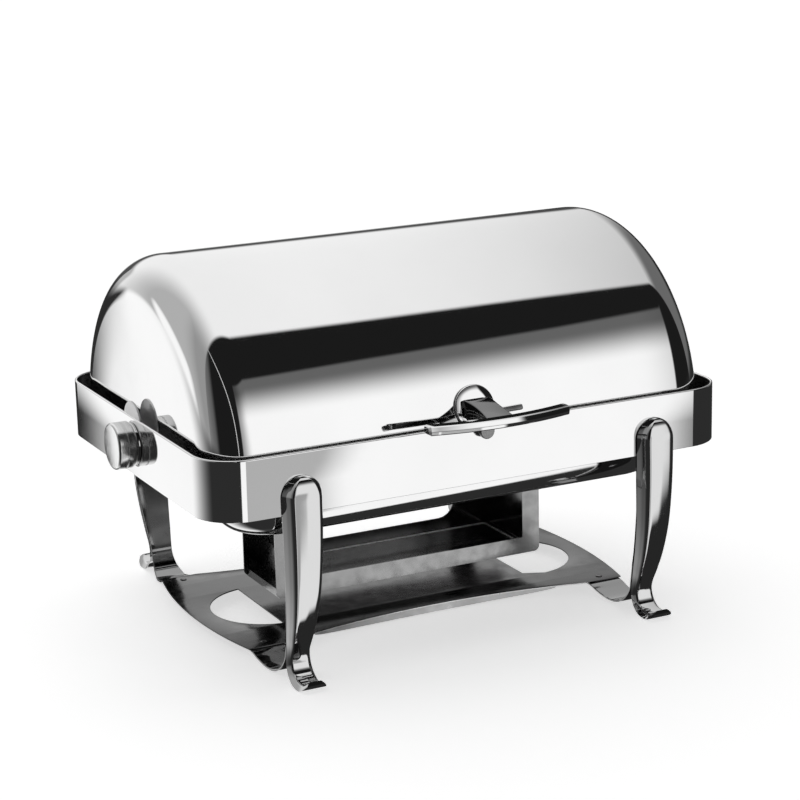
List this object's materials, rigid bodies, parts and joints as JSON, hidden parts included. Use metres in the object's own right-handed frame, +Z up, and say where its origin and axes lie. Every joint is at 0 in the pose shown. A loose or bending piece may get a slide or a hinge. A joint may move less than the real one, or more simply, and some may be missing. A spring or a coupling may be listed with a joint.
{
  "type": "roll-top chafing dish",
  "caption": "Polished-steel roll-top chafing dish with half-cylinder lid, water and food pans, hanging burner box and low shelf on spoon legs.",
  "frame": {"origin": "on the table, under the middle of the whole footprint, handle and feet included; the band and the lid's roll axis are 15.9 mm behind it", "axes": "+X along the long side to the right seen from the handle side, +Y to the back, +Z up; the handle is on the -Y side"},
  "size_m": [0.72, 0.5572, 0.456],
  "materials": {
    "polished_steel": "mirror-polished stainless steel",
    "brushed_steel": "fine satin brushing",
    "black_rubber": "matt black",
    "white_nylon": "matt off-white nylon"
  },
  "bodies": {
    "frame": {"band": "polished_steel", "shelf": "polished_steel", "burner_box": "polished_steel", "burner_tray": "polished_steel", "leg_front_left": "polished_steel", "leg_front_right": "polished_steel", "leg_back_left": "polished_steel", "leg_back_right": "polished_steel", "strap_front_left": "polished_steel", "strap_front_right": "polished_steel", "strap_back_left": "polished_steel", "strap_back_right": "polished_steel", "leg_screw_front_left": "brushed_steel", "leg_screw_front_right": "brushed_steel", "leg_screw_back_left": "brushed_steel", "leg_screw_back_right": "brushed_steel", "leg_rivet_front_left": "polished_steel", "leg_rivet_front_right": "polished_steel", "leg_rivet_back_left": "polished_steel", "leg_rivet_back_right": "polished_steel", "shelf_rivet_front_left": "brushed_steel", "shelf_rivet_front_right": "brushed_steel", "shelf_rivet_back_left": "brushed_steel", "shelf_rivet_back_right": "brushed_steel", "end_plate_left": "polished_steel", "pivot_pin_left": "brushed_steel", "knob_base_left": "polished_steel", "hanger_left": "brushed_steel", "pivot_nut_left": "brushed_steel", "box_bolt_front_left": "brushed_steel", "box_bolt_back_left": "brushed_steel", "end_plate_right": "polished_steel", "pivot_pin_right": "brushed_steel", "knob_base_right": "polished_steel", "hanger_right": "brushed_steel", "pivot_nut_right": "brushed_steel", "box_bolt_front_right": "brushed_steel", "box_bolt_back_right": "brushed_steel"},
    "lid": {"lid": "polished_steel", "lid_hub_left": "brushed_steel", "lid_bush_left": "white_nylon", "lid_hub_right": "brushed_steel", "lid_bush_right": "white_nylon", "handle_rosette": "polished_steel", "handle_bracket": "polished_steel", "handle_bumper": "black_rubber", "handle_bar": "polished_steel", "handle_nut_left": "brushed_steel", "handle_nut_right": "brushed_steel"},
    "knob_left": {"knob_left": "brushed_steel"},
    "knob_right": {"knob_right": "brushed_steel"},
    "water_pan": {"water_pan": "polished_steel"},
    "food_pan": {"food_pan": "brushed_steel"}
  },
  "joints": [
    {"name": "lid_roll", "type": "hinge", "parent": "frame", "child": "lid", "pos_m": [0, 0.0159, 0.24], "axis": [-1, 0, 0], "range_deg": [0, 155]},
    {"name": "knob_left_turn", "type": "hinge", "parent": "frame", "child": "knob_left", "pos_m": [-0.349, 0.0159, 0.24], "axis": [-1, 0, 0], "range_deg": [0, 360]},
    {"name": "knob_right_turn", "type": "hinge", "parent": "frame", "child": "knob_right", "pos_m": [0.349, 0.0159, 0.24], "axis": [1, 0, 0], "range_deg": [0, 360]},
    {"name": "water_pan_lift", "type": "slide", "parent": "frame", "child": "water_pan", "axis": [0, 0, 1], "range_m": [0, 0.045]},
    {"name": "food_pan_lift", "type": "slide", "parent": "water_pan", "child": "food_pan", "axis": [0, 0, 1], "range_m": [0, 0.05]}
  ]
}
